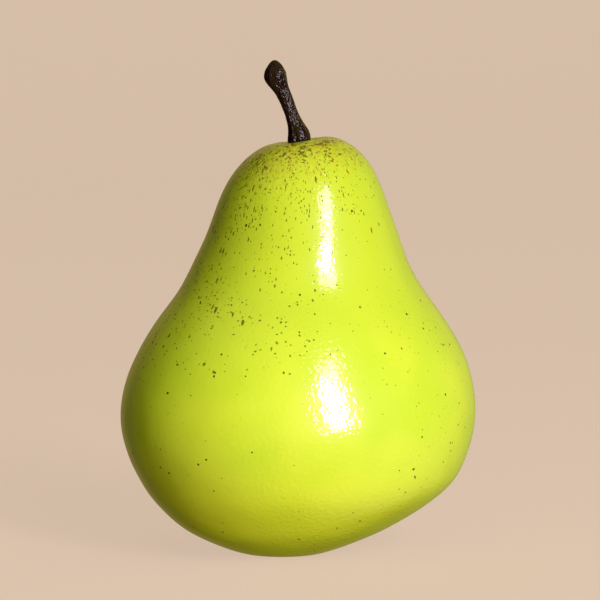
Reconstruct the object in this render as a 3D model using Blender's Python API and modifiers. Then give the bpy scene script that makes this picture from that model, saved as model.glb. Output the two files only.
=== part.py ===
"""A fresh pear that stands on its base, modelled in Blender 4.5 in metres with +Z up.

The fruit is one solid of flesh and skin. Its crown holds a socket for the stalk, and its underside has
a flat foot around a shallow basin. The stalk, the calyx cup, the tuft of dried stamens and the five
sepals are pieces of their own. The fruit's right side is towards +X and its front towards -Y.
"""

import math

import bmesh
import bpy
import numpy as np
from mathutils import Matrix, Vector

# Driving dimensions.
BODY_RADIUS = 0.0474
BODY_HEIGHT = 0.1107
FOOT_OUTER_RADIUS = 0.0115
FOOT_INNER_RADIUS = 0.0089
BASIN_DEPTH = 0.0038
CROWN_DIP = 0.0005
STALK_RADIUS = 0.0030
STALK_ROOT_DEPTH = 0.0060
CLEARANCE = 0.0003

# The flank of the fruit from its foot to its crown: radius and height, as shares of the body's own.
FLANK = (
    (0.407, 0.0248),
    (0.591, 0.0635),
    (0.732, 0.107),
    (0.860, 0.161),
    (0.955, 0.238),
    (1.000, 0.348),
    (0.952, 0.450),
    (0.808, 0.567),
    (0.654, 0.664),
    (0.574, 0.741),
    (0.503, 0.818),
    (0.440, 0.888),
    (0.350, 0.950),
    (0.250, 0.985),
    (0.140, 0.9985),
)
FLANK_STEPS = 3
TURN_STEPS = 48

# The pear grew a little askew: its foot lies off to -X, and its crown is tilted up towards +X.
FOOT_SHIFT = -0.0043
FOOT_SHIFT_HEIGHT = 0.20 * BODY_HEIGHT
CROWN_SLOPE = 0.145
WAIST_HEIGHT = 0.50 * BODY_HEIGHT
NECK_HEIGHT = 0.86 * BODY_HEIGHT

# How far it is from round, as shares of its radius: three soft lobes and an oval, above this height.
LOBES = 0.006
OVAL = 0.005
ROUND_BELOW = 0.30 * BODY_HEIGHT

# The stalk's middle line and half-width: distance from the core axis, height above the crown and
# radius, as shares of the stalk's radius at its root.
STALK = (
    (0.00, -1.95, 0.72),
    (0.00, -0.60, 0.94),
    (0.00, 0.30, 1.00),
    (-0.12, 1.00, 0.84),
    (-0.48, 2.12, 0.60),
    (-1.00, 3.52, 0.62),
    (-1.46, 4.52, 0.71),
    (-1.84, 5.28, 0.92),
    (-2.04, 5.86, 0.98),
    (-2.06, 6.52, 0.70),
    (-2.06, 7.03, 0.28),
)
STALK_STEPS = 3

# The calyx, in the basin.
CALYX_STEPS = 24
CUP_OUTER_RADIUS = 0.0025
CUP_INNER_RADIUS = 0.0017
CUP_LENGTH = 0.0012
TUFT_RADIUS = 0.0012
TUFT_LENGTH = 0.0021
SEPAL_COUNT = 5
SEPAL_WIDTH = 0.0034
SEPAL_THICKNESS = 0.00035
SEPAL_CUPPING = 0.12


def clear_scene():
    """Removes what the start-up file holds."""
    for item in list(bpy.data.objects):
        bpy.data.objects.remove(item)


def new_collection(name):
    """A collection in the scene."""
    made = bpy.data.collections.new(name)
    bpy.context.scene.collection.children.link(made)
    return made


def finish(name, colour, roughness):
    """A Principled material of one colour, for something that is no metal."""
    made = bpy.data.materials.new(name)
    made.use_nodes = True
    shader = made.node_tree.nodes["Principled BSDF"]
    shader.inputs["Base Color"].default_value = (*colour, 1.0)
    shader.inputs["Roughness"].default_value = roughness
    shader.inputs["Metallic"].default_value = 0.0
    return made


def smooth_curve(knots, start_way, end_way, steps):
    """Points on the cubic spline through the knots, which leaves the first and meets the last along
    the ways given. Both its direction and its bend run on smoothly through each knot."""
    knots = np.array(knots, float)
    gaps = np.linalg.norm(np.diff(knots, axis=0), axis=1)
    count = len(knots)
    terms = np.eye(count)
    sides = np.zeros_like(knots)
    sides[0] = start_way
    sides[-1] = end_way
    for i in range(1, count - 1):
        before, after = gaps[i - 1], gaps[i]
        terms[i, i - 1 : i + 2] = after, 2 * (before + after), before
        sides[i] = 3 * (
            after / before * (knots[i] - knots[i - 1])
            + before / after * (knots[i + 1] - knots[i])
        )
    slopes = np.linalg.solve(terms, sides)
    points = [knots[0]]
    for i in range(count - 1):
        for step in range(1, steps + 1):
            t = step / steps
            points.append(
                (2 * t**3 - 3 * t**2 + 1) * knots[i]
                + (t**3 - 2 * t**2 + t) * gaps[i] * slopes[i]
                + (3 * t**2 - 2 * t**3) * knots[i + 1]
                + (t**3 - t**2) * gaps[i] * slopes[i + 1]
            )
    return points


def smooth_step(low, high, value):
    """0 below low and 1 above high, with a soft rise between them."""
    share = min(1.0, max(0.0, (value - low) / (high - low)))
    return share * share * (3 - 2 * share)


def turned_mesh(name, profile, steps, ring=False):
    """The mesh of a profile of (radius, height) turned about Z. The profile runs down its outside.
    A ring's profile closes on itself, and any other has its two ends on the axis."""
    outline = bpy.data.meshes.new(name)
    edges = [(i, i + 1) for i in range(len(profile) - 1)]
    if ring:
        edges.append((len(profile) - 1, 0))
    outline.from_pydata([(radius, 0, height) for radius, height in profile], edges, [])
    blank = bpy.data.objects.new(name, outline)
    bpy.context.scene.collection.objects.link(blank)
    turning = blank.modifiers.new("turn", "SCREW")
    turning.steps = steps
    turning.render_steps = steps
    turning.use_merge_vertices = True
    turning.merge_threshold = 0.00001
    graph = bpy.context.evaluated_depsgraph_get()
    made = bpy.data.meshes.new_from_object(blank.evaluated_get(graph))
    bpy.data.objects.remove(blank)
    made.name = name
    return made


def basin_profile():
    """The basin's wall and floor, from the foot's inner edge to the middle of the floor."""
    knots = (
        (FOOT_INNER_RADIUS, 0.0),
        (0.80 * FOOT_INNER_RADIUS, 0.34 * BASIN_DEPTH),
        (0.58 * FOOT_INNER_RADIUS, 0.78 * BASIN_DEPTH),
        (0.36 * FOOT_INNER_RADIUS, BASIN_DEPTH),
    )
    return [*smooth_curve(knots, (-0.8, 0.6), (-1.0, 0.0), 2), (0.0, BASIN_DEPTH)]


def socket_profile():
    """The socket for the stalk, from the middle of its floor to the rim where the skin begins."""
    mouth = STALK_RADIUS + CLEARANCE
    floor = BODY_HEIGHT - STALK_ROOT_DEPTH - 3 * CLEARANCE
    return [
        (0.0, floor),
        (0.78 * mouth, floor),
        (mouth, BODY_HEIGHT - CROWN_DIP - 0.0018),
        (mouth, BODY_HEIGHT - CROWN_DIP - 0.0007),
        (mouth + 0.0006, BODY_HEIGHT - CROWN_DIP - 0.0001),
    ]


def flank_profile():
    """The skin from the crown, down over the neck and belly, to the foot's outer edge."""
    rim = (STALK_RADIUS + 0.0015, BODY_HEIGHT - CROWN_DIP)
    knots = [(BODY_RADIUS * radius, BODY_HEIGHT * height) for radius, height in FLANK]
    knots = [(FOOT_OUTER_RADIUS, 0.0), *knots, rim]
    return smooth_curve(knots, (0.97, 0.24), (-1.0, -0.2), FLANK_STEPS)[::-1]


def grow(mesh):
    """Bends a turned body into a grown one: the foot lies askew, the crown tilts, and the belly and
    neck aren't quite round."""
    for vertex in mesh.vertices:
        x, y, z = vertex.co
        angle = math.atan2(y, x)
        above_foot = smooth_step(0.0, ROUND_BELOW, z)
        off_axis = smooth_step(0.0, BODY_RADIUS / 2, math.hypot(x, y))
        lobes = LOBES * math.cos(3 * angle + 0.9) + OVAL * math.cos(2 * angle - 1.1)
        swell = 1 + above_foot * off_axis * lobes
        shift = FOOT_SHIFT * (1 - smooth_step(0.0, FOOT_SHIFT_HEIGHT, z))
        tilt = CROWN_SLOPE * smooth_step(WAIST_HEIGHT, NECK_HEIGHT, z)
        vertex.co = Vector((x * swell + shift, y * swell, z + tilt * x))


def finish_piece(collection, name, mesh, material):
    """An object of the mesh, smooth but for its sharp edges, in its material."""
    mesh.shade_smooth()
    mesh.set_sharp_from_angle(angle=math.radians(40))
    mesh.materials.append(material)
    piece = bpy.data.objects.new(name, mesh)
    collection.objects.link(piece)
    return piece


def make_fruit(collection):
    """Flesh and skin, with the stalk's socket, the flat foot and the basin."""
    profile = [*socket_profile(), *flank_profile(), *basin_profile()]
    mesh = turned_mesh("fruit", profile, TURN_STEPS)
    grow(mesh)
    return finish_piece(collection, "fruit", mesh, finish("green_skin", (0.62, 0.76, 0.03), 0.25))


def make_stem(collection):
    """The woody stalk, with its root in the socket and its thick end where it left the branch."""
    stations = smooth_curve(STALK, (0.0, 1.0, 0.1), (0.0, 0.6, -0.8), STALK_STEPS)
    curve = bpy.data.curves.new("stem", "CURVE")
    curve.dimensions = "3D"
    curve.bevel_depth = STALK_RADIUS
    curve.bevel_resolution = 4
    curve.use_fill_caps = True
    spline = curve.splines.new("POLY")
    spline.points.add(len(stations) - 1)
    for point, (across, up, radius) in zip(spline.points, stations):
        point.co = (STALK_RADIUS * across, 0.0, BODY_HEIGHT + STALK_RADIUS * up, 1.0)
        point.radius = radius
    spline.use_smooth = True
    curve.materials.append(finish("stalk_bark", (0.025, 0.012, 0.012), 0.45))
    stem = bpy.data.objects.new("stem", curve)
    collection.objects.link(stem)
    return stem


def make_calyx_cup(collection):
    """The dried ring at the middle of the basin, which the sepals stand around."""
    top = BASIN_DEPTH - CLEARANCE
    bottom = top - CUP_LENGTH
    profile = (
        (CUP_INNER_RADIUS, top),
        (CUP_OUTER_RADIUS, top),
        (CUP_OUTER_RADIUS, top - 0.6 * CUP_LENGTH),
        (0.9 * CUP_OUTER_RADIUS, bottom),
        (CUP_INNER_RADIUS, bottom),
    )
    mesh = turned_mesh("calyx_cup", profile, CALYX_STEPS, ring=True)
    material = finish("dried_cup", (0.060, 0.030, 0.015), 0.80)
    cup = finish_piece(collection, "calyx_cup", mesh, material)
    cup.location.x = FOOT_SHIFT
    return cup


def make_stamen_tuft(collection):
    """The dried stamens and style inside the cup, as one tapering tuft."""
    top = BASIN_DEPTH - CLEARANCE
    profile = (
        (0.0, top),
        (TUFT_RADIUS, top),
        (TUFT_RADIUS, top - 0.4 * TUFT_LENGTH),
        (0.6 * TUFT_RADIUS, top - 0.8 * TUFT_LENGTH),
        (0.0, top - TUFT_LENGTH),
    )
    mesh = turned_mesh("stamen_tuft", profile, CALYX_STEPS)
    material = finish("dried_stamens", (0.080, 0.045, 0.020), 0.85)
    tuft = finish_piece(collection, "stamen_tuft", mesh, material)
    tuft.location.x = FOOT_SHIFT
    return tuft


def sepal_mesh():
    """One sepal that points along +X: a tapering, cupped blade that follows the basin's wall."""
    root = CUP_OUTER_RADIUS + CLEARANCE
    knots = (
        (root, BASIN_DEPTH - 0.0010),
        (root + 0.0015, BASIN_DEPTH - 0.0014),
        (root + 0.0029, BASIN_DEPTH - 0.0022),
        (root + 0.0040, BASIN_DEPTH - 0.0032),
    )
    midrib = smooth_curve(knots, (0.98, -0.2), (0.6, -0.8), 2)
    last = len(midrib) - 1
    blade = bmesh.new()
    bmesh.ops.create_grid(blade, x_segments=last, y_segments=4, size=0.5)
    for vertex in blade.verts:
        share = vertex.co.x + 0.5
        side = 2 * vertex.co.y
        radius, height = midrib[round(share * last)]
        half_width = 0.5 * SEPAL_WIDTH * (1 - 0.85 * share**1.5)
        vertex.co = Vector((radius, side * half_width, height - SEPAL_CUPPING * half_width * side * side))
    mesh = bpy.data.meshes.new("sepal")
    blade.to_mesh(mesh)
    blade.free()
    mesh.materials.append(finish("dried_sepal", (0.050, 0.025, 0.012), 0.80))
    return mesh


def make_sepals(collection):
    """The five sepals, a fifth of a turn apart."""
    mesh = sepal_mesh()
    for number in range(SEPAL_COUNT):
        sepal = bpy.data.objects.new(f"sepal_{number + 1}", mesh)
        sepal.location.x = FOOT_SHIFT
        sepal.rotation_euler.z = 2 * math.pi * (number + 0.25) / SEPAL_COUNT
        thicken = sepal.modifiers.new("blade", "SOLIDIFY")
        thicken.thickness = SEPAL_THICKNESS
        thicken.offset = 0.0
        collection.objects.link(sepal)


def stand_on_origin(collection):
    """Moves every piece so that the origin is the middle of the underside of the object's box."""
    bpy.context.view_layer.update()
    graph = bpy.context.evaluated_depsgraph_get()
    corners = []
    for piece in collection.objects:
        shown = piece.evaluated_get(graph)
        corners += [shown.matrix_world @ vertex.co for vertex in shown.to_mesh().vertices]
    low = Vector(min(corner[axis] for corner in corners) for axis in range(3))
    high = Vector(max(corner[axis] for corner in corners) for axis in range(3))
    middle = (low + high) / 2
    for piece in collection.objects:
        piece.matrix_world = Matrix.Translation((-middle.x, -middle.y, -low.z)) @ piece.matrix_world


def main():
    """Builds the pear."""
    clear_scene()
    collection = new_collection("pear")
    make_fruit(collection)
    make_stem(collection)
    make_calyx_cup(collection)
    make_stamen_tuft(collection)
    make_sepals(collection)
    stand_on_origin(collection)


main()
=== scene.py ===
"""A glossy yellow-green pear with a dark bent stalk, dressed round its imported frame.

The fruit's skin, its stalk and the dried calyx in its foot are modelled here and stand for the frame's solids.
Every length is in metres, in the frame's own axes: X to the right, Y to the back, Z up.
"""

import logging
import random
from collections.abc import Sequence
from dataclasses import dataclass
from enum import Enum
from math import atan2, cos, exp, hypot, pi, radians, sin, sqrt, tau
from typing import Any

import bmesh
import bpy
import numpy as np
from bmesh.types import BMEdge, BMesh, BMVert
from bpy.types import ID, Material, Node, Object, World
from bpy.types import NodeSocket as Socket
from mathutils import Matrix, Vector, noise


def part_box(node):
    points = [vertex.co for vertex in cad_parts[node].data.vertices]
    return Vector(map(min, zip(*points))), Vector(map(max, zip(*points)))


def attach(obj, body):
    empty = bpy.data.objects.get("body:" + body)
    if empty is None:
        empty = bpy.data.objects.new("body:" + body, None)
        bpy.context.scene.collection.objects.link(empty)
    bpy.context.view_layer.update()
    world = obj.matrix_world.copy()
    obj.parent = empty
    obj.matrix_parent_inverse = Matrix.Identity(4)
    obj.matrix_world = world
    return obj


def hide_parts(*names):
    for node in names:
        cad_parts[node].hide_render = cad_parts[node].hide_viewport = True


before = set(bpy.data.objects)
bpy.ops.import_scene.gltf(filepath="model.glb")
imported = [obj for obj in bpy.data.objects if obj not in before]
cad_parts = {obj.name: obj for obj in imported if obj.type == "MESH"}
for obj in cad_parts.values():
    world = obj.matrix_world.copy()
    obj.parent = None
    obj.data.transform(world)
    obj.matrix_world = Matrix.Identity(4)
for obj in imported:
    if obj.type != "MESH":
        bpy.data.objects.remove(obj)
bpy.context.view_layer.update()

Colour = tuple[float, float, float]
Triple = tuple[float, float, float]
Point = tuple[float, float]
Span = tuple[float, float]
Knots = tuple[tuple[float, ...], ...]
Inputs = dict[int | str, Any]

BODY = "root"
GOLDEN_ANGLE = 2.39996
LOG = logging.getLogger("pear")


class Slot(Enum):
    """The record's material slots."""

    SKIN = "skin"
    BARK = "bark"
    CALYX = "dried_calyx"


# ---- Curves and relief ----


def smooth_curve(
    knots: Sequence[Sequence[float]], start_way: Sequence[float], end_way: Sequence[float], steps: int
) -> np.ndarray:
    """Runs one smooth curve through knots, spaced by the straight distance between them.

    Args:
        knots: The points to pass through, each with the same number of values.
        start_way: The curve's direction at its first knot.
        end_way: The curve's direction at its last knot.
        steps: How many stretches to cut each interval into.

    Returns:
        The points along the curve, a row each, from the first knot to the last.
    """
    points = np.array(knots, float)
    gaps = np.linalg.norm(np.diff(points, axis=0), axis=1)
    terms, sides = np.eye(len(points)), np.zeros_like(points)
    sides[0], sides[-1] = start_way, end_way
    for i in range(1, len(points) - 1):
        before, after = gaps[i - 1], gaps[i]
        terms[i, i - 1 : i + 2] = after, 2 * (before + after), before
        sides[i] = 3 * (after / before * (points[i] - points[i - 1]) + before / after * (points[i + 1] - points[i]))
    slopes = np.linalg.solve(terms, sides)
    made = [points[0]]
    for i, gap in enumerate(gaps):
        for step in range(1, steps + 1):
            t = step / steps
            made.append(
                (2 * t**3 - 3 * t**2 + 1) * points[i]
                + (t**3 - 2 * t**2 + t) * gap * slopes[i]
                + (3 * t**2 - 2 * t**3) * points[i + 1]
                + (t**3 - t**2) * gap * slopes[i + 1]
            )
    return np.array(made)


def smooth_step(low: float, high: float, value: float) -> float:
    """Rises smoothly from 0 where the value is low to 1 where it is high."""
    share = min(max((value - low) / (high - low), 0.0), 1.0)
    return share * share * (3 - 2 * share)


def hump(value: float, centre: float, reach: float) -> float:
    """Rises smoothly to 1 at a centre, and falls to about a third at a reach from it."""
    return exp(-(((value - centre) / reach) ** 2))


def lumps(place: Vector, size: float, seed: float) -> float:
    """Gives a smooth random height of about -1 to 1 at a place, in lumps of one size."""
    return noise.noise(place / size + Vector((seed, 1.7 * seed, -seed)))


# ---- Meshes ----


def draw_line(bm: BMesh, points: Sequence[Point]) -> list[BMVert]:
    """Lays a chain of edges in the XZ plane.

    Args:
        bm: The mesh to draw in.
        points: Radius and height of each point.

    Returns:
        The chain's points, in order.
    """
    verts = [bm.verts.new((radius, 0.0, height)) for radius, height in points]
    for first, second in zip(verts, verts[1:]):
        bm.edges.new((first, second))
    return verts


def face_outwards(bm: BMesh) -> None:
    """Points the faces of a closed mesh outwards."""
    bmesh.ops.recalc_face_normals(bm, faces=bm.faces[:])


def move(bm: BMesh, across: float, back: float, up: float = 0.0) -> None:
    """Moves a whole mesh."""
    bmesh.ops.translate(bm, verts=bm.verts[:], vec=(across, back, up))


def turn_round(bm: BMesh, steps: int, weld: float) -> None:
    """Turns everything in a mesh once round Z, and welds the seam and the poles.

    Args:
        bm: The mesh, which holds a profile in the XZ plane.
        steps: How many segments go round.
        weld: Points closer than this become one.
    """
    profile = bm.verts[:] + bm.edges[:]
    bmesh.ops.spin(bm, geom=profile, cent=(0, 0, 0), axis=(0, 0, 1), angle=tau, steps=steps, use_merge=True)
    bmesh.ops.remove_doubles(bm, verts=bm.verts[:], dist=weld)
    bmesh.ops.dissolve_degenerate(bm, dist=weld * 0.1, edges=bm.edges[:])


def add_to_scene(name: str, data: ID) -> Object:
    """Puts an object into the scene, at the origin.

    Args:
        name: Its name.
        data: Its mesh, light or camera.

    Returns:
        The object.
    """
    made = bpy.data.objects.new(name, data)
    bpy.context.scene.collection.objects.link(made)
    return made


def add_mesh(bm: BMesh, name: str, material: Material) -> Object:
    """Makes a smooth-shaded object of a mesh and dresses it.

    Args:
        bm: The finished mesh, with its place in its points. It is freed.
        name: The object's name.
        material: What it is dressed in.

    Returns:
        The object, at the origin.
    """
    for face in bm.faces:
        face.smooth = True
    mesh = bpy.data.meshes.new(name)
    bm.to_mesh(mesh)
    bm.free()
    mesh.materials.append(material)
    return add_to_scene(name, mesh)


def finish_piece(bm: BMesh, name: str, material: Material, stands_for: Sequence[str]) -> None:
    """Makes a dressed piece of a mesh and puts it in the place of the frame's solids.

    Args:
        bm: The finished mesh. It is freed.
        name: The piece's name.
        material: What it is dressed in.
        stands_for: The frame's nodes that it replaces.
    """
    piece = add_mesh(bm, name, material)
    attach(piece, BODY)
    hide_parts(*stands_for)
    LOG.info("%s: %d faces", name, len(piece.data.polygons))


# ---- Shaders ----


class Value:
    """A number that runs between shader nodes. Python's arithmetic on it adds Math nodes."""

    def __init__(self, recipe: "Recipe", source: Socket) -> None:
        """Wraps an output socket of the recipe's tree."""
        self.recipe = recipe
        self.source = source

    def _math(self, operation: str, first: Any, second: Any = 0.0, clamp: bool = False) -> "Value":
        """Adds one Math node, whose result may be kept within 0 and 1."""
        return self.recipe.value("ShaderNodeMath", {"operation": operation, "use_clamp": clamp}, {0: first, 1: second})

    def __add__(self, other: Any) -> "Value":
        """Adds."""
        return self._math("ADD", self, other)

    __radd__ = __add__

    def __sub__(self, other: Any) -> "Value":
        """Subtracts."""
        return self._math("SUBTRACT", self, other)

    def __rsub__(self, other: Any) -> "Value":
        """Subtracts from a number."""
        return self._math("SUBTRACT", other, self)

    def __mul__(self, other: Any) -> "Value":
        """Multiplies."""
        return self._math("MULTIPLY", self, other)

    __rmul__ = __mul__

    def __truediv__(self, other: Any) -> "Value":
        """Divides."""
        return self._math("DIVIDE", self, other)

    def __pow__(self, other: Any) -> "Value":
        """Raises to a power."""
        return self._math("POWER", self, other)

    def clamped(self) -> "Value":
        """Keeps it within 0 and 1."""
        return self._math("ADD", self, 0.0, clamp=True)

    def larger(self, other: Any) -> "Value":
        """Takes the larger of two."""
        return self._math("MAXIMUM", self, other)

    def rise(self, low: float, high: float) -> "Value":
        """Turns it into a mask that rises softly from 0 where it is low to 1 where it is high."""
        inputs = {"Value": self, "From Min": low, "From Max": high}
        return self.recipe.value("ShaderNodeMapRange", {"interpolation_type": "SMOOTHSTEP", "clamp": True}, inputs)


@dataclass(frozen=True)
class Specks:
    """A kind of speck.

    The sides of its cell are in metres, its radius is a share of the cell and its soft edge a share of that.
    """

    cell: Triple
    radius: float
    edge: float = 0.35
    shift: Triple = (0.0, 0.0, 0.0)


class Recipe:
    """The node tree of one material or world, filled a node at a time."""

    def __init__(self, holder: Material | World) -> None:
        """Empties a tree.

        Args:
            holder: The material or world that it belongs to.
        """
        holder.use_nodes = True
        self.holder, self.tree = holder, holder.node_tree
        self.tree.nodes.clear()

    def node(self, kind: str, settings: dict[str, Any] | None = None, inputs: Inputs | None = None) -> Node:
        """Adds a node of any kind.

        Args:
            kind: The node's type.
            settings: Its own settings, set before anything is linked.
            inputs: Values or links for its sockets, by place, name or identifier.

        Returns:
            The node.
        """
        made = self.tree.nodes.new(kind)
        for name, value in (settings or {}).items():
            setattr(made, name, value)
        for key, value in (inputs or {}).items():
            if isinstance(key, int):
                socket = made.inputs[key]
            else:
                named = [s for s in made.inputs if key in (s.identifier, s.name)]
                socket = next((s for s in named if s.identifier == key), named[0])
            if isinstance(value, Value):
                self.tree.links.new(value.source, socket)
            elif isinstance(value, Socket):
                self.tree.links.new(value, socket)
            elif socket.type == "RGBA":
                socket.default_value = (*value, 1.0)
            else:
                socket.default_value = value
        return made

    def value(self, kind: str, settings: dict[str, Any] | None, inputs: Inputs) -> Value:
        """Adds a node and gives its first result, a number."""
        return Value(self, self.node(kind, settings, inputs).outputs[0])

    def place(self) -> Socket:
        """Gives the piece's own coordinates, in metres."""
        return self.node("ShaderNodeTexCoord").outputs["Object"]

    def attribute(self, name: str) -> Socket:
        """Gives a vector that the mesh carries at its points."""
        return self.node("ShaderNodeAttribute", {"attribute_name": name}).outputs["Vector"]

    def split(self, vector: Socket) -> tuple[Value, Value, Value]:
        """Takes a vector apart into its three numbers."""
        made = self.node("ShaderNodeSeparateXYZ", None, {0: vector})
        return tuple(Value(self, s) for s in made.outputs)

    def vector(self, operation: str, first: Any, second: Any) -> Node:
        """Adds one Vector Math node."""
        return self.node("ShaderNodeVectorMath", {"operation": operation}, {0: first, 1: second})

    def scaled(self, vector: Socket, by: Sequence[float]) -> Socket:
        """Multiplies a vector, part by part."""
        return self.vector("MULTIPLY", vector, tuple(by)).outputs[0]

    def shifted(self, vector: Any, by: Any) -> Socket:
        """Adds to a vector, part by part."""
        return self.vector("ADD", vector, by).outputs[0]

    def noise(self, vector: Socket, size: float, detail: float = 2.0, roughness: float = 0.5) -> Value:
        """Adds noise of about 0.5 in clouds of one size, in metres, with finer octaves of a given strength."""
        inputs = {"Vector": vector, "Scale": 1 / size, "Detail": detail, "Roughness": roughness}
        return self.value("ShaderNodeTexNoise", None, inputs)

    def warped(self, vector: Socket, size: float, amount: float) -> Socket:
        """Bends coordinates with noise, so that what is laid in them is irregular.

        Args:
            vector: The coordinates, in metres.
            size: The width of a bend, in metres.
            amount: How far a point may move, in metres.

        Returns:
            The bent coordinates.
        """
        made = self.node("ShaderNodeTexNoise", None, {"Vector": vector, "Scale": 1 / size, "Detail": 2.0})
        centred = self.shifted(made.outputs[1], (-0.5, -0.5, -0.5))
        return self.shifted(vector, self.scaled(centred, (2 * amount,) * 3))

    def blend(self, first: Any, second: Any, share: Any) -> Socket:
        """Mixes two colours, by the share of the second."""
        inputs = {"Factor_Float": share, "A_Color": first, "B_Color": second}
        return self.node("ShaderNodeMix", {"data_type": "RGBA", "clamp_factor": True}, inputs).outputs[2]

    def specks(self, kind: Specks, where: Socket, share: Any) -> tuple[Value, Value]:
        """Scatters specks, one in some of the cells of a pattern.

        Args:
            kind: What kind of speck it is.
            where: The coordinates, in metres.
            share: The share of cells that hold a speck.

        Returns:
            The specks' mask, and a random number from 0 to 1 for each.
        """
        smallest, spread, crispness = 0.55, 0.9, 14.0
        if any(kind.shift):
            where = self.shifted(where, kind.shift)
        where = self.scaled(where, [1 / side for side in kind.cell])
        cells = self.node("ShaderNodeTexVoronoi", {"feature": "F1"}, {"Vector": where, "Scale": 1.0})
        chance, size, tint = self.split(cells.outputs["Color"])
        present = ((share - chance) * crispness).clamped()
        radius = (size * spread + smallest) * kind.radius * present
        mask = ((radius - Value(self, cells.outputs["Distance"])) / (kind.edge * kind.radius)).clamped()
        return mask, tint

    def surface(self, colour: Socket, roughness: Value, height: Value, rest: Inputs) -> Material:
        """Ends the tree in one principled surface.

        Args:
            colour: Its base colour.
            roughness: Its roughness.
            height: Its relief, in metres.
            rest: Plain numbers for its other sockets.

        Returns:
            The finished material.
        """
        relief = self.node("ShaderNodeBump", None, {"Strength": 1.0, "Distance": 1.0, "Height": height})
        inputs = {"Base Color": colour, "Roughness": roughness, "Normal": relief.outputs[0], **rest}
        shader = self.node("ShaderNodeBsdfPrincipled", None, inputs)
        self.node("ShaderNodeOutputMaterial", None, {"Surface": shader.outputs[0]})
        return self.holder


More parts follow.
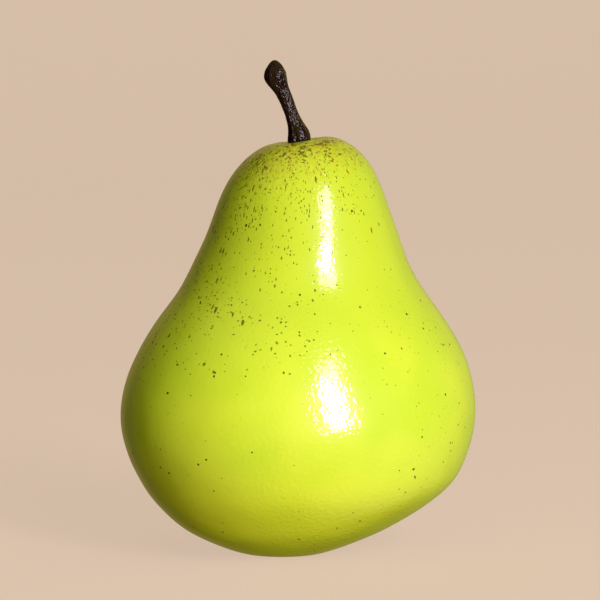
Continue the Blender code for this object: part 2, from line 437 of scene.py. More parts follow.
@dataclass(frozen=True)
class LacqueredSkin:
    """The fruit's skin: lime green to yellow, freckled from the crown down, under a glossy, finely crackled lacquer.

    Each span gives the two places, in metres, between which a mask rises: across on the left and right, down
    from the crown's rim for the crown, and up from the ground for the rest.
    """

    foot_centre: Point
    lime: Colour = (0.6, 0.745, 0.034)
    lemon: Colour = (0.7, 0.79, 0.044)
    shade: Colour = (0.56, 0.665, 0.03)
    ripe: Colour = (0.74, 0.765, 0.034)
    olive: Colour = (0.54, 0.39, 0.016)
    russet: Colour = (0.15, 0.046, 0.003)
    amber: Colour = (0.52, 0.2, 0.008)
    moss: Colour = (0.075, 0.07, 0.002)
    dot: Colour = (0.11, 0.14, 0.003)
    black: Colour = (0.022, 0.022, 0.003)
    ripe_up_to: Span = (0.008, 0.034)
    shaded_from: Span = (0.045, 0.09)
    freckled_from: Span = (0.047, 0.06)
    neck_from: Span = (0.05, 0.104)
    shoulder_up_to: Span = (0.078, 0.092)
    upper_from: Span = (0.084, 0.1)
    crown_down_to: Span = (0.006, 0.024)
    left_of: Span = (-0.03, 0.02)
    right_of: Span = (0.012, 0.034)
    fine: Specks = Specks((0.00062, 0.00062, 0.00095), 0.27, 0.6)
    thin: Specks = Specks((0.00062, 0.00062, 0.0018), 0.25, 0.5, (0.0031, 0.0017, 0.0))
    streak: Specks = Specks((0.00088, 0.00088, 0.0038), 0.22)
    point: Specks = Specks((0.002, 0.002, 0.002), 0.145)
    small: Specks = Specks((0.0012, 0.0012, 0.0012), 0.15, 0.6, (0.3, 0.1, 0.2))
    cluster: float = 0.013
    cloud: float = 0.026
    crinkle: float = 0.00115
    crack: float = 0.0011
    gloss: float = 0.06
    ripple: float = 0.000028
    crackle: float = 0.000004
    pit: float = 0.000012
    haze: float = 0.62
    haze_width: float = 0.28

    def material(self) -> Material:
        """Builds the skin.

        Returns:
            The material.
        """
        r = Recipe(bpy.data.materials.new("lacquered_skin"))
        place = r.place()
        strand = r.attribute("meridian")
        x, y, z = r.split(place)
        down = r.split(strand)[2]

        left = 1.0 - x.rise(*self.left_of)
        right = x.rise(*self.right_of) * (1.0 - z.rise(*self.shoulder_up_to))
        freckled = z.rise(*self.freckled_from)
        neck = z.rise(*self.neck_from)
        upper = z.rise(*self.upper_from)
        crown = 1.0 - down.rise(*self.crown_down_to)
        clustered = r.noise(place, self.cluster).rise(0.34, 0.62) * 0.75 + 0.25

        # The ground is cloudy, deeper up the neck, yellower near the foot and olive on the crown.
        colour = r.blend(self.lime, self.lemon, r.noise(place, self.cloud).rise(0.34, 0.68))
        colour = r.blend(colour, self.shade, z.rise(*self.shaded_from) * 0.8)
        colour = r.blend(colour, self.ripe, (1.0 - z.rise(*self.ripe_up_to)) * 0.75)
        colour = r.blend(colour, self.olive, crown * 0.6 * r.noise(strand, 0.0016, 3.0).rise(0.28, 0.62))

        # Fine freckles, thin flecks and long streaks run lengthwise, thicker towards the crown and the left.
        bent = r.warped(strand, 0.0008, 0.00016)
        share = freckled * (0.08 + left * 0.74) + upper * (0.2 + left * 0.36) + crown * 0.45
        fine, _ = r.specks(self.fine, bent, share * clustered)
        colour = r.blend(colour, self.dot, fine * 0.9)
        share = neck * (0.04 + left * 0.66) + upper * (0.28 + left * 0.42) + crown * 0.3 + freckled * left * 0.62
        thin, _ = r.specks(self.thin, bent, share * clustered)
        colour = r.blend(colour, self.moss, thin * 0.8)
        share = neck * (0.08 + left * 0.46) + upper * 0.3 + crown * 0.3 + freckled * left * 0.3
        streaks, tint = r.specks(self.streak, bent, share * clustered)
        brown = r.blend(self.russet, self.amber, tint)
        # On the left the streaks turn from russet and amber towards dark moss. That is painted shade of the unlit
        # side; their brown tints and their number are their own.
        colour = r.blend(colour, r.blend(brown, self.moss, left * tint.rise(0.15, 0.5)), streaks * 0.92)

        # Worn russet patches gather on the crown.
        patch = r.noise(r.scaled(r.warped(place, 0.0012, 0.0003), (1.0, 1.0, 0.7)), 0.00095, 3.0, 0.6)
        grouped = r.noise(place, 0.0048, 1.0).rise(0.36, 0.6)
        worn = (patch - 0.655 - left * 0.01 + crown * (0.085 + grouped * 0.1)) * 16.0
        mottle = worn.clamped() * crown.rise(0.02, 0.35)
        brown = r.blend(self.russet, self.moss, r.noise(strand, 0.0021, 1.0).rise(0.46, 0.6))
        colour = r.blend(colour, brown, mottle * 0.9)

        # Black dots and small dark ones are strewn over the whole fruit.
        strewn = r.warped(place, 0.0007, 0.0001)
        points, _ = r.specks(self.point, strewn, 0.19 + freckled * (0.1 + left * 0.16) + right * 0.28)
        colour = r.blend(colour, self.black, points * 0.95)
        small, _ = r.specks(self.small, strewn, 0.15 + freckled * 0.14 + right * 0.22)
        colour = r.blend(colour, self.moss, small * 0.7)

        # A brown net lies round the calyx.
        spread = ((x - self.foot_centre[0]) ** 2.0 + (y - self.foot_centre[1]) ** 2.0) ** 0.5
        foot = (1.0 - spread.rise(0.0045, 0.015)) * (1.0 - z.rise(0.004, 0.012))
        net = r.noise(r.scaled(place, (1.0, 1.0, 0.6)), 0.0016, 4.0, 0.65).rise(0.4, 0.6)
        colour = r.blend(colour, self.amber, foot * (0.25 + net * 0.45))

        # The lacquer ripples most on the crown and least on the left, and sinks a little over the dark marks.
        dark = streaks.larger(mottle).larger(points)
        bed = r.warped(place, 0.001, 0.00035)
        ripple = r.noise(bed, self.crinkle, 1.0, 0.4)
        cells = {"Vector": bed, "Scale": 1 / self.crack}
        cracks = r.node("ShaderNodeTexVoronoi", {"feature": "DISTANCE_TO_EDGE"}, cells)
        lines = 1.0 - Value(r, cracks.outputs["Distance"]).rise(0.0, 0.16)
        coarse = 1.0 - down.rise(0.012, 0.027)
        calm = (x.rise(-0.022, 0.002) * 0.7 + 0.3) * (1.0 - z.rise(0.062, 0.074) * (1.0 - coarse) * 0.35)
        height = (ripple * (coarse + 1.0) * (4 * self.ripple) - lines * self.crackle) * calm - dark * self.pit
        roughness = self.gloss + r.noise(place, 0.0035).rise(0.35, 0.75) * 0.04 + dark * 0.1
        coat = {"Coat Weight": self.haze, "Coat Roughness": self.haze_width}
        return r.surface(colour, roughness, height, {"IOR": 1.5, "Specular IOR Level": 1.0, **coat})


@dataclass(frozen=True)
class DarkBark:
    """The stalk's bark: nearly black with a plum cast, wrinkled lengthwise, grainy and slightly glossy."""

    plum: Colour = (0.011, 0.0018, 0.0038)
    umber: Colour = (0.018, 0.004, 0.0042)
    ash: Colour = (0.075, 0.03, 0.034)
    pore: Specks = Specks((0.00075, 0.00075, 0.0013), 0.2)
    gloss: float = 0.07
    fibre_height: float = 0.00005
    grain_height: float = 0.00032
    pore_height: float = 0.00004

    def material(self) -> Material:
        """Builds the bark.

        Returns:
            The material.
        """
        r = Recipe(bpy.data.materials.new("dark_bark"))
        strand = r.attribute("grain")
        fibres = r.noise(r.scaled(strand, (1.0, 1.0, 0.16)), 0.00042, 3.0, 0.6)
        grain = r.noise(r.scaled(strand, (1.0, 1.0, 0.6)), 0.00055, 1.0)
        broad = r.noise(r.place(), 0.003)
        pores, _ = r.specks(self.pore, r.warped(strand, 0.0006, 0.0001), 0.3)
        colour = r.blend(self.plum, self.umber, broad.rise(0.42, 0.66))
        colour = r.blend(colour, self.ash, fibres.rise(0.58, 0.78) * 0.18 + pores * 0.16)
        height = fibres * self.fibre_height + grain * self.grain_height + pores * self.pore_height
        roughness = self.gloss + grain.rise(0.35, 0.7) * 0.08
        return r.surface(colour, roughness, height, {"Specular IOR Level": 0.32})


@dataclass(frozen=True)
class DriedLeaf:
    """The calyx: withered leaf and thread, brown, matt and veined from root to tip."""

    name: str
    dark: Colour = (0.035, 0.016, 0.007)
    light: Colour = (0.16, 0.085, 0.032)
    vein: float = 0.00035
    vein_height: float = 0.0001
    blotch: float = 0.0015

    def material(self) -> Material:
        """Builds the dried leaf.

        Returns:
            The material.
        """
        r = Recipe(bpy.data.materials.new(self.name))
        place = r.place()
        veins = r.noise(r.scaled(place, (1.0, 1.0, 0.4)), self.vein, 3.0, 0.6)
        blotch = r.noise(place, self.blotch)
        colour = r.blend(self.dark, self.light, (veins * 0.6 + blotch * 0.5).rise(0.42, 0.72))
        return r.surface(colour, 0.68 + blotch * 0.2, veins * self.vein_height, {"Specular IOR Level": 0.35})


@dataclass(frozen=True)
class StudioPaper:
    """The seamless paper under and behind the fruit, clear when seen from its underside."""

    tone: Colour = (0.18, 0.14, 0.115)
    glow: Colour = (1.0, 0.767, 0.622)
    glow_strength: float = 0.595

    def material(self) -> Material:
        """Builds the paper.

        Returns:
            The material.
        """
        r = Recipe(bpy.data.materials.new("studio_paper"))
        inputs = {"Base Color": self.tone, "Roughness": 0.95, "Specular IOR Level": 0.1}
        inputs |= {"Emission Color": self.glow, "Emission Strength": self.glow_strength}
        paper = r.node("ShaderNodeBsdfPrincipled", None, inputs)
        clear = r.node("ShaderNodeBsdfTransparent")
        under = r.node("ShaderNodeNewGeometry").outputs["Backfacing"]
        both = r.node("ShaderNodeMixShader", None, {0: under, 1: paper.outputs[0], 2: clear.outputs[0]})
        r.node("ShaderNodeOutputMaterial", None, {"Surface": both.outputs[0]})
        return r.holder


# ---- The pear ----


@dataclass(frozen=True)
class Folds:
    """A ring of small folds of the skin, between the spans over which they start and fade out."""

    start: Span
    end: Span
    depth: float
    count: int

    def strength(self, spread: float) -> float:
        """Gives how deep the folds are at a distance from the core."""
        return smooth_step(*self.start, spread) * (1 - smooth_step(*self.end, spread)) * self.depth


@dataclass(frozen=True)
class Fruit:
    """The fleshy body: a round pear that narrows to a sloping crown, with a pit for the stalk and a hollow foot.

    The blends and the slope's span are shares of its height, and the other spans are heights in metres. A sway
    is a height and a reach, the slant is a share at the belly and at the neck, and the flank is in shares too.
    """

    core: Point
    skin: LacqueredSkin
    radius: float = 0.0474
    height: float = 0.1107
    foot_outer: float = 0.0115
    foot_inner: float = 0.0089
    basin_depth: float = 0.0038
    crown_dip: float = 0.0005
    stalk_radius: float = 0.003
    stalk_root: float = 0.006
    mouth: float = 0.0015
    foot_shift: float = -0.0043
    shift_blend: float = 0.2
    crown_slope: float = 0.145
    slope_span: Span = (0.5, 0.86)
    lobes: float = 0.006
    lobe_turn: float = 0.9
    lobe_blend: float = 0.3
    oval: float = 0.005
    oval_turn: float = -1.1
    slant: Span = (0.03, -0.022)
    slant_span: Span = (0.052, 0.094)
    sway: float = 0.0006
    sway_out: Span = (0.056, 0.011)
    sway_back: Span = (0.077, 0.01)
    deepening: float = 0.042
    deep_span: Span = (0.068, 0.094)
    collar: float = 0.0005
    collar_reach: float = 0.0065
    crown_folds: Folds = Folds((0.0022, 0.0034), (0.0036, 0.0105), 0.00022, 7)
    basin_folds: Folds = Folds((0.002, 0.0045), (0.0056, 0.008), 0.00035, 10)
    turns: int = 240
    strand_radius: float = 0.02
    undulation: float = 0.0001
    broad_wave: float = 0.013
    fine_wave: float = 0.006
    flank: Knots = (
        ((0.407, 0.0248), (0.591, 0.0635), (0.732, 0.107), (0.86, 0.161), (0.955, 0.238))
        + ((1.000, 0.348), (0.952, 0.45), (0.808, 0.567), (0.654, 0.664), (0.574, 0.741))
        + ((0.503, 0.818), (0.44, 0.888), (0.35, 0.95), (0.25, 0.985), (0.14, 0.9985))
    )

    def flank_line(self) -> list[Point]:
        """Draws the outside from the crown's rim down to the foot.

        Returns:
            Radius and height of each point.
        """
        rim = (self.stalk_radius + self.mouth, self.height - self.crown_dip)
        middle = [(share * self.radius, up * self.height) for share, up in self.flank]
        line = smooth_curve([(self.foot_outer, 0.0), *middle, rim], (0.97, 0.24), (-1.0, -0.2), 12)
        return line[::-1].tolist()

    def basin_line(self) -> list[Point]:
        """Draws the hollow under the foot, from its edge to the middle.

        Returns:
            Radius and height of each point.
        """
        inner, depth = self.foot_inner, self.basin_depth
        knots = [(inner, 0.0), (0.8 * inner, 0.34 * depth), (0.58 * inner, 0.78 * depth), (0.36 * inner, depth)]
        line = smooth_curve(knots, (-0.8, 0.6), (-1.0, 0.0), 7)
        return line.tolist() + [(0.18 * inner, depth), (0.0, depth)]

    def hollow_line(self) -> list[Point]:
        """Draws the pit that the stalk grows from, from its floor up to the crown's rim.

        Returns:
            Radius and height of each point.
        """
        top, width = self.height - self.crown_dip, self.stalk_radius
        walls = [(0.9 * width, top - 0.003), (0.93 * width, top - 0.0014), (1.1 * width, top - 0.00045)]
        line = smooth_curve([*walls, (width + self.mouth, top)], (0.0, 1.0), (1.0, 0.2), 4)
        floor = self.height - self.stalk_root
        return [(0.0, floor), (0.5 * width, floor)] + line.tolist()

    def grow(self, co: Vector) -> Vector:
        """Bends the turned shape into the grown one.

        Its section gets three soft lobes, a slight oval and one that leans, its foot stands to one side, its
        flanks sway, its crown slopes and its upper neck is deeper from front to back.

        Args:
            co: A point of the turned shape, with its core on Z.

        Returns:
            Where the point has grown to.
        """
        angle, spread = atan2(co.y, co.x), hypot(co.x, co.y)
        share = smooth_step(0.0, self.lobe_blend * self.height, co.z) * smooth_step(0.0, self.radius / 2, spread)
        low, high = self.slant
        slant = low + (high - low) * smooth_step(*self.slant_span, co.z)
        uneven = self.lobes * cos(3 * angle + self.lobe_turn) + self.oval * cos(2 * angle + self.oval_turn)
        swell = 1 + share * (uneven + slant * sin(2 * angle))
        shift = self.foot_shift * (1 - smooth_step(0.0, self.shift_blend * self.height, co.z))
        shift += self.sway * (hump(co.z, *self.sway_out) - 0.7 * hump(co.z, *self.sway_back))
        tilt = self.crown_slope * smooth_step(*(part * self.height for part in self.slope_span), co.z)
        depth = 1 + self.deepening * smooth_step(*self.deep_span, co.z)
        return Vector((co.x * swell + shift, co.y * swell * depth, co.z + tilt * co.x))

    def crease(self, co: Vector) -> float:
        """Gives the small folds of the skin where it gathers round the stalk and the calyx.

        Args:
            co: A point of the turned shape.

        Returns:
            How far it rises along Z.
        """
        angle, spread = atan2(co.y, co.x), hypot(co.x, co.y)
        if co.z > 0.9 * self.height:
            folds = self.crown_folds
            collar = self.collar * max(-cos(angle), 0.0) * hump(spread, 0.0, self.collar_reach)
            wave = cos(folds.count * angle + 1.5 * sin(2 * angle))
            return collar - folds.strength(spread) * (0.5 + 0.5 * wave)
        if co.z < self.basin_depth + 0.0001 and spread < self.foot_inner:
            folds = self.basin_folds
            return folds.strength(spread) * cos(folds.count * angle + 0.8 * sin(3 * angle))
        return 0.0

    def build(self) -> None:
        """Turns, grows and dresses the body, and notes on its points how far down the flank they lie."""
        bm = bmesh.new()
        strand = bm.verts.layers.float_vector.new("meridian")
        hollow = self.hollow_line()[:-1]
        chain = draw_line(bm, hollow + self.flank_line() + self.basin_line())
        down = 0.0
        for above, below in zip(chain[len(hollow) :], chain[len(hollow) + 1 :]):
            down += (below.co - above.co).length
            below[strand] = Vector((0.0, 0.0, down))
        turn_round(bm, self.turns, 1e-6)
        face_outwards(bm)
        for vert in bm.verts:
            angle = atan2(vert.co.y, vert.co.x)
            across, back = self.strand_radius * cos(angle), self.strand_radius * sin(angle)
            vert[strand] = Vector((across, back, vert[strand].z))
            vert.co = self.grow(vert.co) + Vector((0.0, 0.0, self.crease(vert.co)))
        bm.normal_update()
        for vert in bm.verts:
            firm = smooth_step(0.0, 0.006, vert.co.z)
            wave = lumps(vert.co, self.broad_wave, 3.0) + 0.5 * lumps(vert.co, self.fine_wave, 8.0)
            vert.co += vert.normal * (self.undulation * wave * firm)
        move(bm, *self.core)
        finish_piece(bm, "pear_skin", self.skin.material(), ["fruit"])


@dataclass(frozen=True)
class Stalk:
    """The bent stalk: a ribbed root, a thin wrinkled shank and a knob where it broke off the branch.

    Its course is across, up and radius of each knot, as shares of the stalk's radius, from root to tip.
    """

    core: Point
    bark: DarkBark = DarkBark()
    body_height: float = 0.1107
    radius: float = 0.003
    turns: int = 72
    rings: int = 14
    course: Knots = (
        ((0.00, -1.95, 0.72), (0.06, -0.6, 0.96), (0.09, 0.3, 1.03), (-0.08, 1.00, 0.84))
        + ((-0.48, 2.12, 0.6), (-1.00, 3.52, 0.62), (-1.46, 4.52, 0.71), (-1.84, 5.28, 0.92))
        + ((-2.04, 5.86, 0.98), (-2.06, 6.52, 0.7), (-2.06, 7.03, 0.28))
    )

    def stations(self) -> np.ndarray:
        """Follows the stalk from its root to its tip: across, up and radius of each station, in metres."""
        return self.radius * smooth_curve(self.course, (0, 1, 0.1), (0, 0.6, -0.8), self.rings)

    def wrinkle(self, angle: float, share: float) -> float:
        """Gives how far the surface stands out, as a share of the radius there.

        Args:
            angle: The direction round the stalk.
            share: How far along it, from 0 at the root to 1 at the tip.

        Returns:
            The share to add to the radius.
        """
        root = 1 - smooth_step(0.18, 0.48, share)
        knob = smooth_step(0.66, 0.8, share)
        drift = 1.6 * sin(2.2 * share) + 0.9 * sin(9.0 * share + 1.0)
        ribs = 0.032 * root * cos(9 * angle + 0.4) + 0.02 * root * cos(5 * angle + 2.0) - 0.02 * root
        folds = 0.02 * cos(6 * angle + drift) + 0.016 * cos(11 * angle - 1.7 * drift)
        crags = knob * (0.03 * cos(5 * angle + 2.4 * drift) + 0.022 * cos(8 * angle + 14 * share))
        around = Vector((cos(angle), sin(angle), 7.0 * share))
        rough = 0.03 * noise.noise(around * 2.1) + 0.022 * noise.noise(around * 5.3 + Vector((5.0, 2.0, 9.0)))
        towards_left = max(cos(angle - pi), 0.0) ** 2
        shoulder = 0.02 * towards_left * hump(share, 0.862, 0.028)
        lean = 0.11 * cos(angle) * hump(share, 0.935, 0.055)
        return ribs + folds + crags + rough + shoulder + lean

    def build(self) -> None:
        """Turns a straight stalk, bends it along its course and dresses it."""
        stations = self.stations()
        gaps = np.linalg.norm(np.diff(stations[:, :2], axis=0), axis=1)
        along = np.concatenate(([0.0], np.cumsum(gaps)))
        ways = np.gradient(stations[:, :2], along, axis=0)
        ways /= np.linalg.norm(ways, axis=1)[:, None]
        tip, tip_radius = float(along[-1]), float(stations[-1, 2])
        bm = bmesh.new()
        grain = bm.verts.layers.float_vector.new("grain")
        profile = [(0.0, -0.0002)] + [(float(s[2]), float(a)) for s, a in zip(stations, along)]
        draw_line(bm, [*profile, (0.55 * tip_radius, tip + 0.00022), (0.0, tip + 0.0003)])
        turn_round(bm, self.turns, 1e-7)
        for vert in bm.verts:
            angle, spread, rise = atan2(vert.co.y, vert.co.x), hypot(vert.co.x, vert.co.y), vert.co.z
            vert[grain] = Vector((self.radius * cos(angle), self.radius * sin(angle), rise))
            middle = [float(np.interp(rise, along, stations[:, k])) for k in (0, 1)]
            way = [float(np.interp(rise, along, ways[:, k])) for k in (0, 1)]
            over = rise - min(max(rise, 0.0), tip)
            out = spread * (1 + self.wrinkle(angle, min(max(rise / tip, 0.0), 1.0)))
            aside = out * cos(angle)
            across = middle[0] + aside * way[1] + over * way[0]
            up = self.body_height + middle[1] - aside * way[0] + over * way[1]
            vert.co = Vector((across, out * sin(angle), up))
        move(bm, *self.core)
        face_outwards(bm)
        finish_piece(bm, "pear_stalk", self.bark.material(), ["stem"])


@dataclass(frozen=True)
class Calyx:
    """The dried flower in the foot: a cup, a tuft of stamens and five withered sepals."""

    centre: Point
    cup_leaf: DriedLeaf = DriedLeaf("dried_cup")
    thread: DriedLeaf = DriedLeaf("dried_stamens", light=(0.22, 0.13, 0.05))
    sepal_leaf: DriedLeaf = DriedLeaf("dried_sepals")
    depth: float = 0.0038
    cup_top: float = 0.0035
    cup_outer: float = 0.0025
    cup_inner: float = 0.0017
    cup_length: float = 0.0012
    cup_turns: int = 60
    tuft_radius: float = 0.0012
    tuft_length: float = 0.0021
    tuft_sunk: float = 0.0002
    stamens: int = 19
    stamen_radius: float = 0.0001
    stamen_bends: int = 5
    head_radius: float = 0.00019
    sepals: int = 5
    sepal_width: float = 0.0034
    sepal_thickness: float = 0.00035

    def build_cup(self) -> None:
        """Turns the cup, frays its lip and dresses it."""
        top, low = self.cup_top, self.cup_top - self.cup_length
        middle = (self.cup_outer + self.cup_inner) / 2
        inside = [(self.cup_inner, top), (self.cup_inner, low + 0.0002), (middle, low)]
        outside = [(self.cup_outer - 0.0001, low + 0.0003), (self.cup_outer, top - 0.0003), (middle, top)]
        bm = bmesh.new()
        chain = draw_line(bm, inside + outside)
        bm.edges.new((chain[-1], chain[0]))
        turn_round(bm, self.cup_turns, 1e-7)
        face_outwards(bm)
        for vert in bm.verts:
            angle = atan2(vert.co.y, vert.co.x)
            lip = 1 - smooth_step(low, low + 0.0008, vert.co.z)
            frayed = 0.00016 * cos(5 * angle) + 0.00009 * cos(13 * angle + 0.7)
            stretch = 1 + 0.03 * cos(10 * angle + 0.3)
            vert.co = Vector((vert.co.x * stretch, vert.co.y * stretch, vert.co.z + frayed * lip))
        move(bm, *self.centre)
        finish_piece(bm, "pear_calyx_cup", self.cup_leaf.material(), ["calyx_cup"])

    def add_stamen(self, bm: BMesh, base: Vector, lean: Vector, length: float) -> None:
        """Draws one thread out of the tuft and ends it in a shrunken head.

        Args:
            bm: The tuft's mesh.
            base: Where the thread starts.
            lean: How far it has leant sideways at its end.
            length: How far down it hangs.
        """
        steps, place = self.stamen_bends, Matrix.Translation(base)
        made = bmesh.ops.create_circle(bm, cap_ends=True, segments=6, radius=self.stamen_radius, matrix=place)
        edges = list({edge for vert in made["verts"] for edge in vert.link_edges})
        for step in range(1, steps + 1):
            new = bmesh.ops.extrude_edge_only(bm, edges=edges)["geom"]
            edges = [part for part in new if isinstance(part, BMEdge)]
            ring = [part for part in new if isinstance(part, BMVert)]
            step_out = lean * (2 * step / steps - 1 / steps) / steps - Vector((0, 0, length / steps))
            bmesh.ops.translate(bm, verts=ring, vec=step_out)
        bmesh.ops.contextual_create(bm, geom=edges)
        shape = Matrix.Translation(base + lean - Vector((0, 0, length))) @ Matrix.Diagonal((0.9, 0.75, 1.3, 1.0))
        bmesh.ops.create_icosphere(bm, subdivisions=2, radius=self.head_radius, matrix=shape)

    def build_tuft(self) -> None:
        """Gathers the stamens on a small cushion and dresses them."""
        dice = random.Random(11)
        top = self.cup_top - self.tuft_sunk
        bm = bmesh.new()
        cushion = Matrix.Translation((0, 0, top)) @ Matrix.Diagonal((1.0, 1.0, 0.45, 1.0))
        bmesh.ops.create_uvsphere(bm, u_segments=20, v_segments=12, radius=0.75 * self.tuft_radius, matrix=cushion)
        for number in range(self.stamens):
            angle = number * GOLDEN_ANGLE + dice.uniform(-0.2, 0.2)
            spread = self.tuft_radius * 0.62 * sqrt((number + 0.5) / self.stamens)
            base = Vector((spread * cos(angle), spread * sin(angle), top))
            out = self.tuft_radius * dice.uniform(0.15, 0.5)
            lean = Vector((out * cos(angle + 0.6), out * sin(angle + 0.6), 0.0))
            self.add_stamen(bm, base, lean, dice.uniform(0.62, 0.86) * self.tuft_length)
        face_outwards(bm)
        move(bm, *self.centre)
        finish_piece(bm, "pear_stamens", self.thread.material(), ["stamen_tuft"])

    def build_sepal(self, number: int) -> None:
        """Cuts one sepal from a small grid, curls and creases it, and dresses it.

        Args:
            number: Which sepal it is, from 1.
        """
        root, top = self.cup_outer + 0.0003, self.depth
        knots = [(root, top - 0.001), (root + 0.0015, top - 0.0014)]
        knots += [(root + 0.0029, top - 0.0022), (root + 0.004, top - 0.0032)]
        rib = smooth_curve(knots, (1.0, 0.0), (0.6, -0.8), 8)
        places = np.linspace(0.0, 1.0, len(rib))
        bm = bmesh.new()
        bmesh.ops.create_grid(bm, x_segments=26, y_segments=12, size=0.5)
        for vert in bm.verts:
            share, across = vert.co.x + 0.5, 2 * vert.co.y
            out, up = (float(np.interp(share, places, rib[:, k])) for k in (0, 1))
            half = 0.5 * self.sepal_width * (1 - 0.85 * share**1.5) * (1 + 0.05 * sin(17 * share + 2.1 * number))
            crease = 0.0001 * cos(9 * across + 1.3 * number) * (1 - share * 0.6)
            cup = 0.0003 * across * across * (1.0 - 0.6 * share)
            twist = 0.00014 * across * sin(2.4 * share + number)
            vert.co = Vector((out, half * across, up + crease - cup + twist))
        face_outwards(bm)
        bmesh.ops.solidify(bm, geom=bm.faces[:], thickness=self.sepal_thickness * 0.7)
        bmesh.ops.remove_doubles(bm, verts=bm.verts[:], dist=1e-7)
        face_outwards(bm)
        turn = Matrix.Rotation(tau * (number - 1 + 0.25) / self.sepals, 4, "Z")
        place = Matrix.Translation((*self.centre, 0.0))
        bmesh.ops.transform(bm, verts=bm.verts[:], matrix=place @ turn)
        leaf = self.sepal_leaf.material()
        finish_piece(bm, f"pear_sepal_{number}", leaf, [f"sepal_{number}"])

    def build(self) -> None:
        """Builds the cup, the tuft and the sepals."""
        self.build_cup()
        self.build_tuft()
        for number in range(1, self.sepals + 1):
            self.build_sepal(number)


# ---- The studio ----


@dataclass(frozen=True)
class Softbox:
    """One soft light that looks at the fruit."""

    name: str
    azimuth: float
    elevation: float
    distance: float
    width: float
    height: float
    brightness: float
    roll: float = 0.0
    tint: Colour = (1.0, 0.99, 0.98)
    fruit_only: bool = False

    def build(self, aim: Vector, sweep: Object) -> None:
        """Hangs the light.

        Args:
            aim: The point that it faces.
            sweep: The paper sweep, which a light for the fruit only leaves dark.
        """
        lamp = bpy.data.lights.new(self.name, "AREA")
        lamp.shape = "RECTANGLE"
        lamp.size, lamp.size_y = self.width, self.height
        lamp.energy = self.brightness * pi * self.width * self.height
        lamp.color = self.tint
        light = add_to_scene(self.name, lamp)
        light.visible_camera = False
        light.visible_glossy = not self.fruit_only
        away = around(self.azimuth, self.elevation)
        light.location = aim + away * self.distance
        facing = away.to_track_quat("Z", "Y").to_matrix() @ Matrix.Rotation(radians(self.roll), 3, "Z")
        light.rotation_euler = facing.to_euler()
        if self.fruit_only:
            unlit = bpy.data.collections.new(f"{self.name}_leaves_out")
            unlit.objects.link(sweep)
            unlit.collection_objects[0].light_linking.link_state = "EXCLUDE"
            light.light_linking.receiver_collection = unlit


def around(azimuth: float, elevation: float) -> Vector:
    """Gives a direction from the fruit, in degrees to the right of the front and above the horizon."""
    a, e = radians(azimuth), radians(elevation)
    return Vector((sin(a) * cos(e), -cos(a) * cos(e), sin(e)))


@dataclass(frozen=True)
class Glow:
    """A soft bright patch on the walls of the room, even out to one angle from its middle and gone at another."""

    azimuth: float
    elevation: float
    full: float
    gone: float
    tone: Colour

    def shine(self, recipe: Recipe, way: Socket) -> Socket:
        """Adds the patch to the room's tree.

        Args:
            recipe: The room's tree.
            way: The direction looked in.

        Returns:
            The patch's light, as a colour.
        """
        middle = tuple(around(self.azimuth, self.elevation))
        facing = Value(recipe, recipe.vector("DOT_PRODUCT", way, middle).outputs["Value"])
        share = facing.rise(cos(radians(self.gone)), cos(radians(self.full)))
        return recipe.blend((0.0, 0.0, 0.0), self.tone, share)


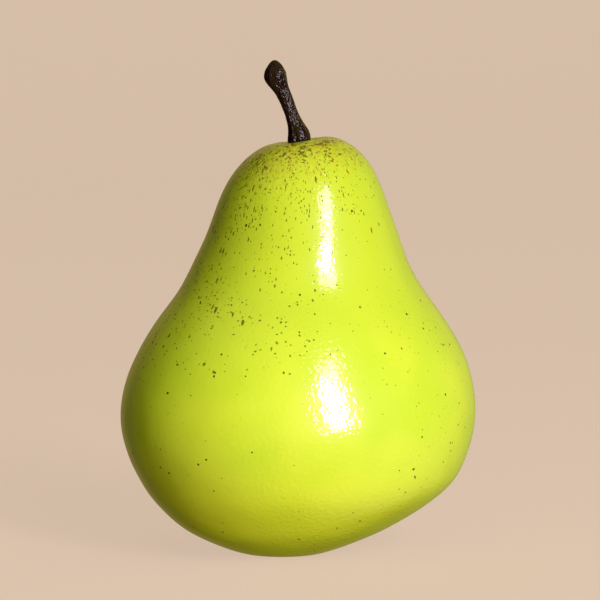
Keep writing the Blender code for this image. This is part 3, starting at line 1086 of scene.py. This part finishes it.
@dataclass(frozen=True)
class Studio:
    """The pale paper sweep, the soft lights and the camera."""

    paper: StudioPaper = StudioPaper()
    aim: Triple = (0.0004, 0.0, 0.0678)
    camera_distance: float = 1.0
    camera_elevation: float = 5.0
    frame_width: float = 0.161
    sensor: float = 36.0
    sweep_radius: float = 2.6
    sweep_height: float = 3.0
    sweep_bend: float = 0.9
    floor_gap: float = 0.00015
    room: Colour = (0.003, 0.003, 0.004)
    beyond: Colour = (0.66, 0.5, 0.4)
    glows: tuple[Glow, ...] = (
        Glow(0, 10, 5, 42, (0.205, 0.218, 0.075)),
        Glow(-20, 5, 5, 40, (0.092, 0.094, 0.003)),
        Glow(-45, 5, 5, 45, (0.08, 0.076, 0.003)),
        Glow(-25, 35, 5, 40, (0.28, 0.295, 0.01)),
        Glow(18, -12, 5, 40, (0.132, 0.14, 0.05)),
        Glow(45, 5, 5, 45, (0.01, 0.01, 0.14)),
        Glow(90, 5, 5, 45, (0.025, 0.026, 0.027)),
        Glow(140, 5, 10, 50, (0.34, 0.37, 0.09)),
        Glow(180, 3, 14, 42, (0.205, 0.186, 0.03)),
        Glow(180, 28, 5, 30, (0.14, 0.09, 0.05)),
        Glow(-155, 0, 10, 40, (0.038, 0.005, 0.025)),
        Glow(0, 85, 10, 60, (0.43, 0.412, 0.092)),
        Glow(10, -40, 5, 45, (0.08, 0.072, 0.013)),
        Glow(0, -62, 5, 40, (0.162, 0.14, 0.028)),
        Glow(30, -50, 5, 45, (0.08, 0.074, 0.005)),
        Glow(-28, -38, 5, 45, (0.14, 0.11, 0.022)),
        Glow(0, -88, 10, 55, (0.31, 0.277, 0.01)),
        Glow(-90, -45, 5, 45, (0.028, 0.005, 0.01)),
        Glow(90, -45, 5, 45, (0.316, 0.33, 0.168)),
    )
    lights: tuple[Softbox, ...] = (
        Softbox("key_softbox", 30.6, 11.8, 1.3, 0.29, 0.906, 23.0, 7.0),
        Softbox("key_softbox_top", 32.6, 37.5, 1.3, 0.29, 0.296, 5.8, 7.0),
        Softbox("back_fill", 180.0, 0.0, 3.00, 0.6, 0.6, 16.0, fruit_only=True),
    )

    def build_camera(self) -> None:
        """Sets the camera up in front of the fruit."""
        lens = bpy.data.cameras.new("studio_camera")
        lens.sensor_width = self.sensor
        lens.lens = self.sensor * self.camera_distance / self.frame_width
        lens.clip_start, lens.clip_end = 0.01, 20.0
        camera = add_to_scene("studio_camera", lens)
        away = around(0.0, self.camera_elevation)
        camera.location = Vector(self.aim) + away * self.camera_distance
        camera.rotation_euler = away.to_track_quat("Z", "Y").to_euler()
        bpy.context.scene.camera = camera

    def build_sweep(self) -> Object:
        """Turns a wide paper bowl whose floor runs up into its wall without an edge, and faces it inwards.

        Returns:
            The sweep.
        """
        floor = self.sweep_radius - self.sweep_bend
        knots = [(floor, 0.0), (floor + 0.63, 0.26), (self.sweep_radius, self.sweep_bend)]
        bend = smooth_curve(knots, (1.0, 0.0), (0.0, 1.0), 8).tolist()
        bm = bmesh.new()
        draw_line(bm, [(0.0, 0.0), (0.4 * floor, 0.0), *bend, (self.sweep_radius, self.sweep_height)])
        turn_round(bm, 96, 1e-6)
        for face in bm.faces:
            face.normal_update()
            if face.normal.dot(Vector((0, 0, 1.0)) - face.calc_center_median()) < 0:
                face.normal_flip()
        move(bm, 0.0, 0.0, -self.floor_gap)
        sweep = add_mesh(bm, "studio_sweep", self.paper.material())
        sweep.visible_diffuse = sweep.visible_glossy = sweep.visible_shadow = False
        return sweep

    def build_world(self) -> None:
        """Fills the room with soft light, patch by patch, but shows the lens a plain tone."""
        r = Recipe(bpy.data.worlds.new("studio_room"))
        way = r.node("ShaderNodeTexCoord").outputs["Generated"]
        tone = self.room
        for glow in self.glows:
            tone = r.shifted(tone, glow.shine(r, way))
        room = r.node("ShaderNodeBackground", None, {"Color": tone, "Strength": 1.0})
        plain = r.node("ShaderNodeBackground", None, {"Color": self.beyond, "Strength": 1.0})
        seen = r.node("ShaderNodeLightPath").outputs["Is Camera Ray"]
        both = r.node("ShaderNodeMixShader", None, {0: seen, 1: room.outputs[0], 2: plain.outputs[0]})
        r.node("ShaderNodeOutputWorld", None, {"Surface": both.outputs[0]})
        bpy.context.scene.world = r.holder

    def build(self) -> None:
        """Builds the whole studio and sets how its picture is developed."""
        self.build_camera()
        sweep = self.build_sweep()
        self.build_world()
        for light in self.lights:
            light.build(Vector(self.aim), sweep)
        view = bpy.context.scene.view_settings
        view.view_transform = "Standard"
        view.look = "None"
        view.exposure, view.gamma = 0.0, 1.0


def middle_of(node: str) -> Point:
    """Finds X and Y of the middle of a frame solid's box."""
    low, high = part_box(node)
    return ((low.x + high.x) / 2, (low.y + high.y) / 2)


def main() -> None:
    """Builds the studio, the fruit, the stalk and the calyx, in that order."""
    logging.basicConfig(level=logging.INFO, format="%(message)s")
    Studio().build()
    foot = middle_of("calyx_cup")
    core = (foot[0] - Fruit.foot_shift, foot[1])
    Fruit(core, LacqueredSkin(foot)).build()
    Stalk(core).build()
    Calyx(foot).build()


if __name__ == "__main__":
    main()
